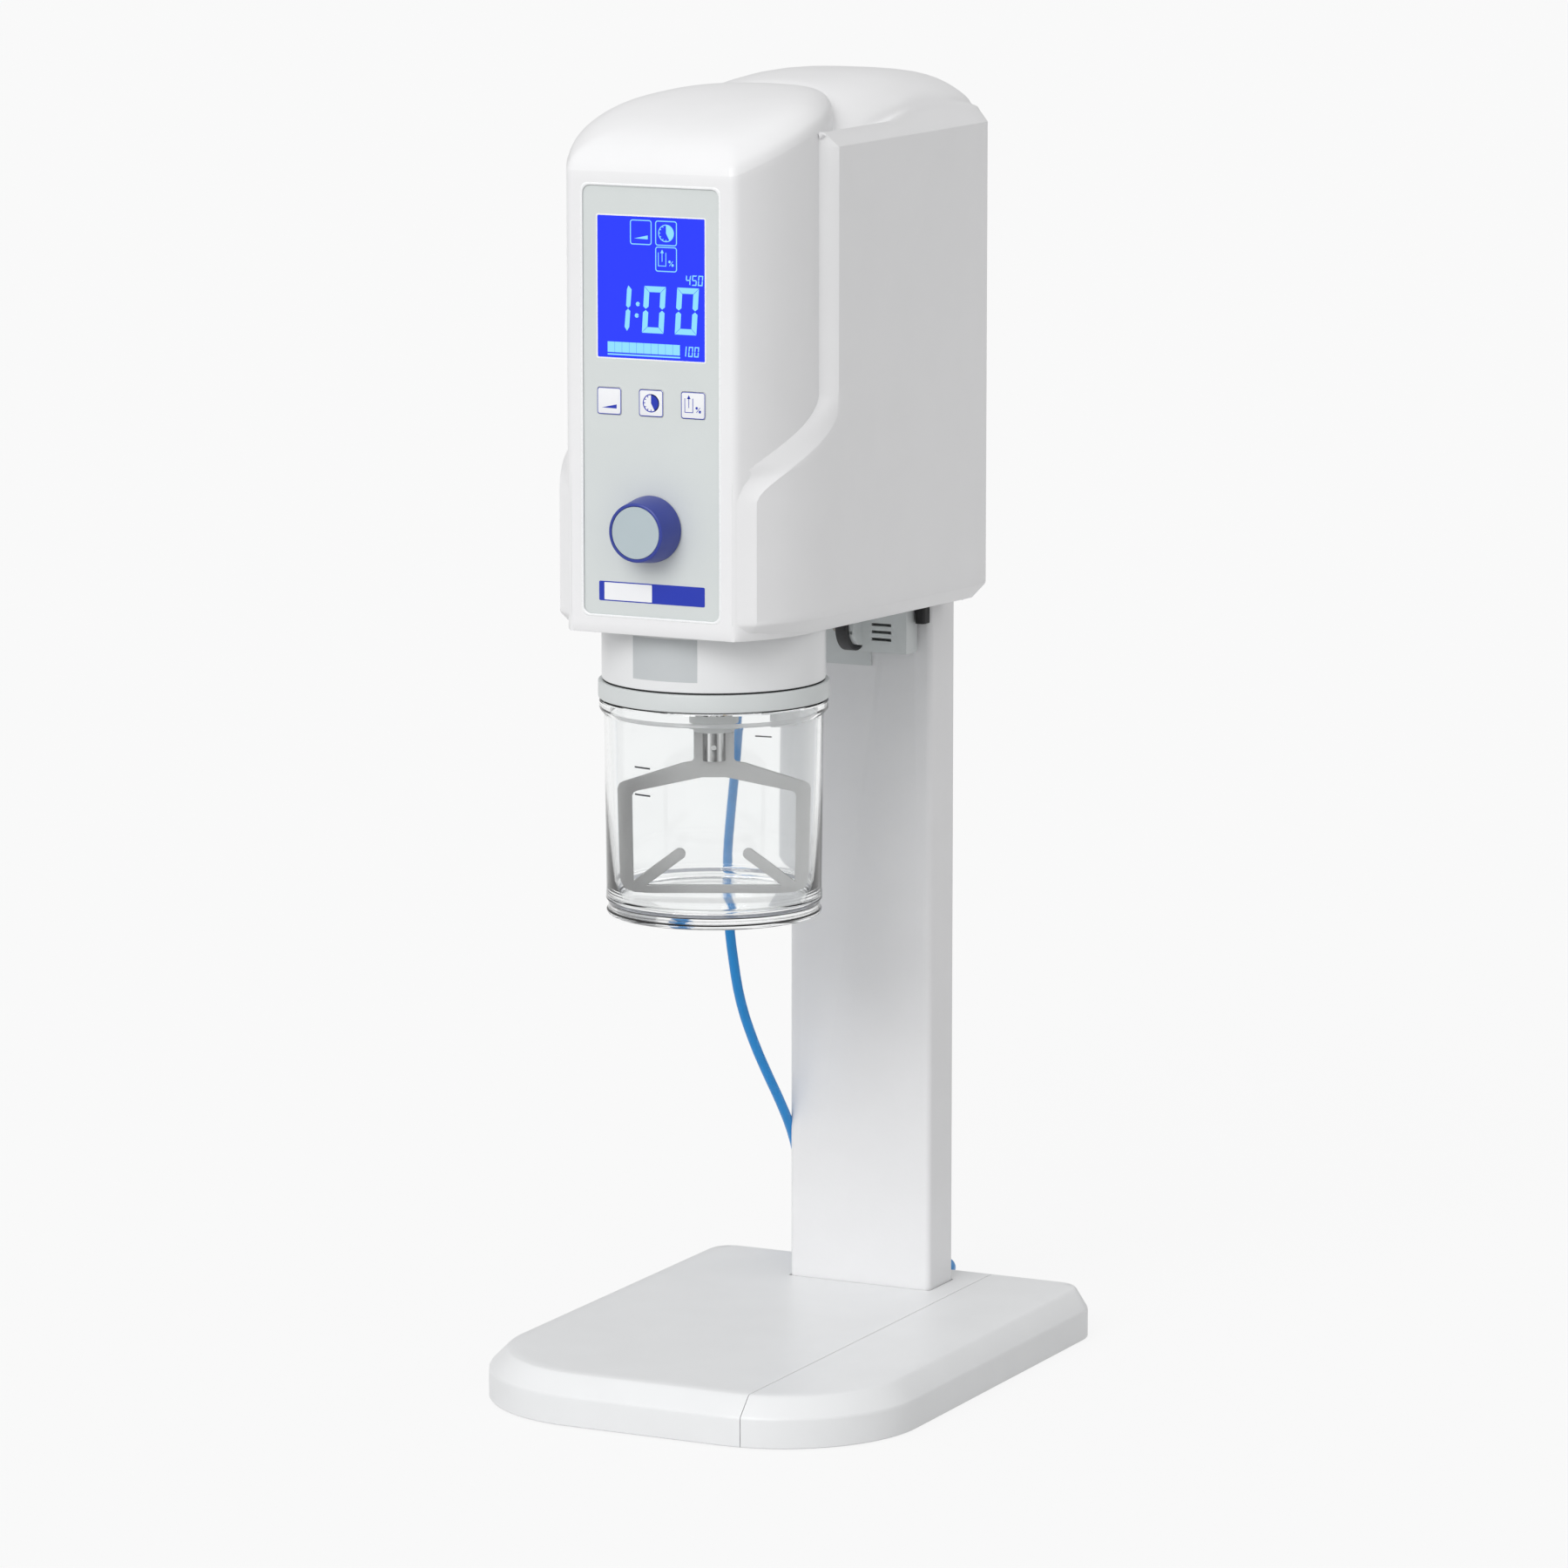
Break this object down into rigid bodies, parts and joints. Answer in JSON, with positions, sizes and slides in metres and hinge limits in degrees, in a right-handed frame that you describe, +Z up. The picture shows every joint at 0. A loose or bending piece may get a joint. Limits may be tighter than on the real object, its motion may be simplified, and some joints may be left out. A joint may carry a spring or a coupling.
{
  "type": "dental_impression_mixer",
  "caption": "Bench-top vacuum mixer for dental impression material, with a clear beaker, paddle, display, keys and a turning knob, on a column and base",
  "frame": {"origin": "on the bench, under the middle of the mixer without its air hose", "axes": "+Z up, +X to the operator's right, +Y away from the operator"},
  "size_m": [0.268, 0.4574, 0.7679],
  "materials": {
    "white_shell": "satin moulded shell",
    "pale_grey_plastic": "fine matt",
    "grey_plastic": "matt",
    "panel_grey": "matt front foil",
    "painted_column": "white powder coat",
    "steel_sheet": "rolled",
    "steel": "turned",
    "black_plastic": "matt",
    "rubber": "soft",
    "blue_knob": "matt",
    "knob_grey": "matt",
    "display_blue": "lit blue window",
    "board_green": "solder mask",
    "key_white": "printed cap",
    "aluminium": "turned",
    "belt_rubber": "ribbed",
    "beaker_clear": "clear moulded",
    "paddle_grey": "matt moulded",
    "hose_blue": "smooth air hose",
    "clear_line": "translucent",
    "brass": "turned"
  },
  "bodies": {
    "stand": {"base_cover": "white_shell", "base_side_cover": "white_shell", "ballast_plate": "steel_sheet", "rubber_feet": "rubber", "base_screws": "steel", "column": "painted_column", "column_foot": "aluminium", "column_cap": "black_plastic", "nut_plate": "steel_sheet", "head_screws": "steel", "front_shell": "white_shell", "rear_shell": "white_shell", "bottom_plate": "pale_grey_plastic", "back_plate": "steel_sheet", "housing_screws": "steel", "control_panel": "panel_grey", "display_window": "display_blue", "display_module": "board_green", "key_switches": "black_plastic", "control_board": "board_green", "board_spacers": "steel", "encoder_body": "grey_plastic", "motor_plate": "steel_sheet", "motor_can": "grey_plastic", "drive_belt": "belt_rubber", "spindle_bearings": "steel", "bearing_tube": "aluminium", "holding_magnets": "steel", "power_supply": "board_green", "vacuum_ejector": "aluminium", "suction_line": "clear_line", "air_fitting": "steel", "mains_inlet": "black_plastic", "filter_housing": "pale_grey_plastic", "rubber_buffers": "rubber", "air_hose": "hose_blue", "hose_coil": "hose_blue", "air_plug": "brass"},
    "knob_unit": {"knob": "blue_knob", "knob_cap": "knob_grey", "encoder_shaft": "steel"},
    "speed_button": {"speed_key": "key_white"},
    "time_button": {"time_key": "key_white"},
    "vacuum_button": {"vacuum_key": "key_white"},
    "motor": {"motor_rotor": "steel", "small_belt_wheel": "aluminium"},
    "drive": {"drive_spindle": "steel", "large_belt_wheel": "aluminium"},
    "bowl_lid": {"lid": "white_shell", "catch_plates": "steel", "seal_ring": "pale_grey_plastic", "lid_bush": "grey_plastic"},
    "mixing_tool": {"paddle_shaft": "steel", "paddle_pin": "steel", "paddle": "paddle_grey", "shaft_clip": "steel"},
    "bowl": {"beaker": "beaker_clear"},
    "filter_lock": {"filter_ring": "black_plastic"},
    "filter_insert": {"filter_plug": "grey_plastic"},
    "collet": {"release_collet": "blue_knob"}
  },
  "joints": [
    {"name": "knob_turn", "type": "hinge", "parent": "stand", "child": "knob_unit", "pos_m": [0, -0.165, 0.5233], "axis": [0, 1, 0], "continuous": true},
    {"name": "speed_press", "type": "slide", "parent": "stand", "child": "speed_button", "axis": [0, 1, 0], "range_m": [0, 0.0006], "stiffness_N_per_m": 600, "springref_m": -0.0005},
    {"name": "time_press", "type": "slide", "parent": "stand", "child": "time_button", "axis": [0, 1, 0], "range_m": [0, 0.0006], "stiffness_N_per_m": 600, "springref_m": -0.0005},
    {"name": "vacuum_press", "type": "slide", "parent": "stand", "child": "vacuum_button", "axis": [0, 1, 0], "range_m": [0, 0.0006], "stiffness_N_per_m": 600, "springref_m": -0.0005},
    {"name": "motor_spin", "type": "hinge", "parent": "stand", "child": "motor", "pos_m": [0, 0.012, 0.56], "axis": [0, 0, 1], "continuous": true},
    {"name": "drive_spin", "type": "hinge", "parent": "stand", "child": "drive", "pos_m": [0, -0.078, 0.54], "axis": [0, 0, 1], "continuous": true},
    {"name": "lid_lower", "type": "slide", "parent": "stand", "child": "bowl_lid", "axis": [0, 0, -1], "range_m": [0, 0.03]},
    {"name": "tool_spin", "type": "hinge", "parent": "bowl_lid", "child": "mixing_tool", "pos_m": [0, -0.078, 0.42], "axis": [0, 0, 1], "continuous": true},
    {"name": "beaker_lower", "type": "slide", "parent": "bowl_lid", "child": "bowl", "axis": [0, 0, -1], "range_m": [0, 0.13]},
    {"name": "filter_ring_turn", "type": "hinge", "parent": "stand", "child": "filter_lock", "pos_m": [0.004, 0.0972, 0.436], "axis": [1, 0, 0], "range_deg": [0, 45]},
    {"name": "filter_insert_slide", "type": "slide", "parent": "filter_lock", "child": "filter_insert", "axis": [-1, 0, 0], "range_m": [0, 0.025]},
    {"name": "collet_press", "type": "slide", "parent": "stand", "child": "collet", "axis": [0, 0, 1], "range_m": [0, 0.001], "stiffness_N_per_m": 400, "springref_m": -0.001}
  ],
  "couplings": [
    {"joint": "drive_spin", "follows": "motor_spin", "ratio": 0.35294},
    {"joint": "tool_spin", "follows": "motor_spin", "ratio": 0.35294}
  ]
}
